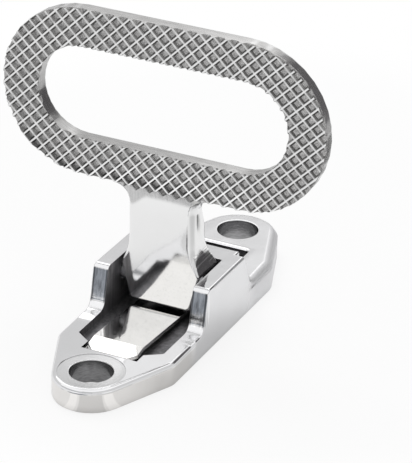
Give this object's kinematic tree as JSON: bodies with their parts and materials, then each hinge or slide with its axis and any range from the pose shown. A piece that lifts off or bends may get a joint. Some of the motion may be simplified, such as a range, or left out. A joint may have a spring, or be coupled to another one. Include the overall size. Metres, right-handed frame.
{
  "type": "folding trailer step",
  "caption": "Fold-down step of polished stainless steel: an oval tread loop with cross-hatched grip on an arm hinged to a bolt-on base.",
  "frame": {"origin": "middle of the base's outline, on its mounting face", "axes": "+X across the base, +Y along it towards the rear bolt boss that the open arm leans towards, +Z out of the mounting face"},
  "size_m": [0.1064, 0.1246, 0.1013],
  "materials": {
    "polished_base": "mirror-polished stainless casting",
    "polished_arm": "mirror-polished stainless casting with an as-cast tread",
    "ground_pin": "ground",
    "spring_steel": "cold-rolled, lightly polished"
  },
  "bodies": {
    "base": {"base_casting": "polished_base", "leaf_spring": "spring_steel", "pivot_pin": "ground_pin"},
    "step": {"step_arm": "polished_arm"}
  },
  "joints": [
    {"name": "arm_fold", "type": "hinge", "parent": "base", "child": "step", "pos_m": [0, -0.0015, 0.0156], "axis": [1, 0, 0], "range_deg": [0, 90]}
  ]
}
